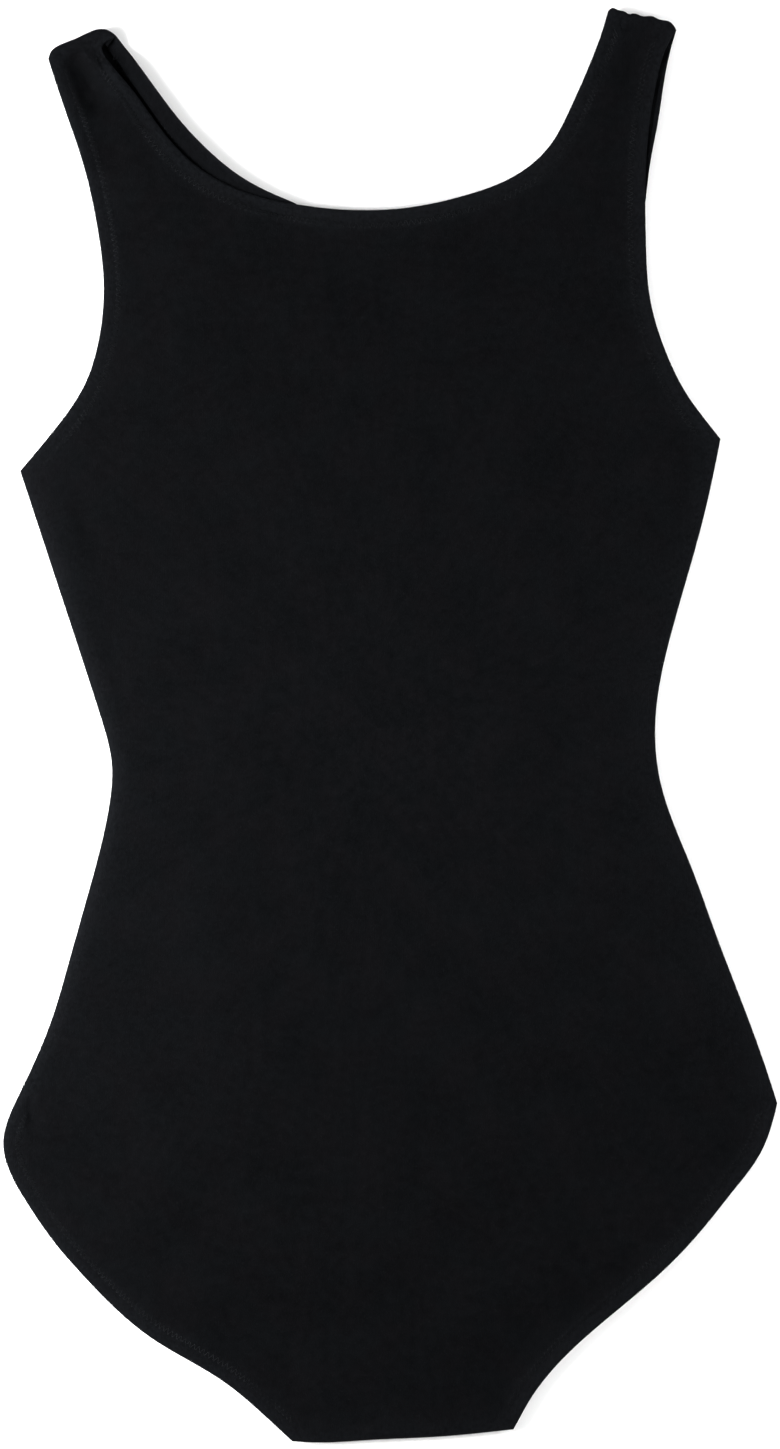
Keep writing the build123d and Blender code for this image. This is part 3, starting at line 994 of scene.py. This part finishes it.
piece = new_piece("lining_stitches",
                  *crossing_zigzag(LINING_TOP_Y - 2.5, inset=9.5, reach=1.6), THREAD)
flat_uv(piece)
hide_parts("gusset_stitching")
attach(piece, "hips")

piece = new_piece("crotch_seam_thread",
                  *crossing_zigzag(CROTCH_SEAM_Y - 4.3, inset=8.5, reach=1.9), THREAD)
flat_uv(piece)
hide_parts("crotch_seam")
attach(piece, "hips")

# ---- Care label, blank, sewn into the left side seam ----
LABEL_WIDTH, LABEL_LENGTH, LABEL_THICKNESS = 26.0, 34.0, 0.25
LABEL_MIDDLE = (-116.7, 39.8)
LABEL_TURN = math.radians(16.4)
LABEL_HEIGHT = MIDDLE + 1.1


def make_label():
    """A blank rectangle of woven tape, gently bowed across its width."""
    rows, columns = 17, 13
    cos, sin = math.cos(LABEL_TURN), math.sin(LABEL_TURN)
    vertices = []
    for v in np.linspace(-0.5, 0.5, rows + 1):
        for u in np.linspace(-0.5, 0.5, columns + 1):
            along, across = u * LABEL_WIDTH, v * LABEL_LENGTH
            x = LABEL_MIDDLE[0] + along * cos - across * sin
            y = LABEL_MIDDLE[1] + along * sin + across * cos
            bow = 0.25 * math.sin(3 * (u + 0.5)) + 0.1 * v * v
            vertices.append((x, y, LABEL_HEIGHT + bow))
    return new_piece("blank_label", vertices, grid_faces(rows, columns), LABEL)


label = make_label()
thicken(label, LABEL_THICKNESS)
flat_uv(label)
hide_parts("care_label")
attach(label, "torso")

# ---- Floor, light and camera ----
PAPER_DARK, PAPER_LIGHT = (0.9, 0.9, 0.9, 1), (0.92, 0.92, 0.92, 1)
FLOOR_SIZE = 12            # metres, as everything in this section
FLOOR_Z = -0.0002          # just clear of the cloth
ROOM_LIGHT = 0.45
CAMERA_PLACE = (0.0057, 0.0012, 1.84)
CAMERA_TURN = math.radians(-1.75)       # the garment lies a little askew in the view
SENSOR_HEIGHT, LENS = 36, 100.16        # millimetres, as a camera's are

floor_material, floor_tree, floor_shader = new_material("paper")
place = add(floor_tree, "ShaderNodeTexCoord").outputs["Object"]
grain = add(floor_tree, "ShaderNodeTexNoise", {"Vector": place, "Scale": 900.0})
paper = mix_colours(floor_tree, grain.outputs["Fac"], PAPER_DARK, PAPER_LIGHT)
floor_tree.links.new(paper, floor_shader.inputs["Base Color"])
floor_shader.inputs["Roughness"].default_value = 0.95
floor_shader.inputs["Specular IOR Level"].default_value = 0.1
bpy.ops.mesh.primitive_plane_add(size=FLOOR_SIZE, location=(0, 0, FLOOR_Z))
floor = bpy.context.object
floor.name = "floor"
floor.data.materials.append(floor_material)

world = bpy.data.worlds.new("studio")
bpy.context.scene.world = world
world.use_nodes = True
backdrop = world.node_tree.nodes["Background"]
backdrop.inputs["Color"].default_value = (1, 1, 1, 1)
backdrop.inputs["Strength"].default_value = ROOM_LIGHT


def soft_light(name, place, size, power):
    """A square soft light that looks at the garment's middle."""
    lamp = bpy.data.lights.new(name, "AREA")
    lamp.size = size
    lamp.energy = power
    light = bpy.data.objects.new(name, lamp)
    bpy.context.collection.objects.link(light)
    light.location = place
    light.rotation_euler = (-Vector(place)).to_track_quat("-Z", "Y").to_euler()


soft_light("left", (-0.75, -0.02, 0.46), 0.45, 24)
soft_light("right", (1.0, -0.02, 0.62), 0.6, 15.5)
soft_light("head", (0.2, 1.9, 1.5), 1.2, 6)
soft_light("foot", (-0.2, -1.9, 1.2), 1.2, 6)

camera = bpy.data.objects.new("camera", bpy.data.cameras.new("camera"))
bpy.context.collection.objects.link(camera)
camera.data.sensor_fit = "VERTICAL"
camera.data.sensor_height = SENSOR_HEIGHT
camera.data.lens = LENS
camera.location = CAMERA_PLACE
camera.rotation_euler = (0, 0, CAMERA_TURN)
bpy.context.scene.camera = camera
bpy.context.scene.view_settings.view_transform = "Standard"
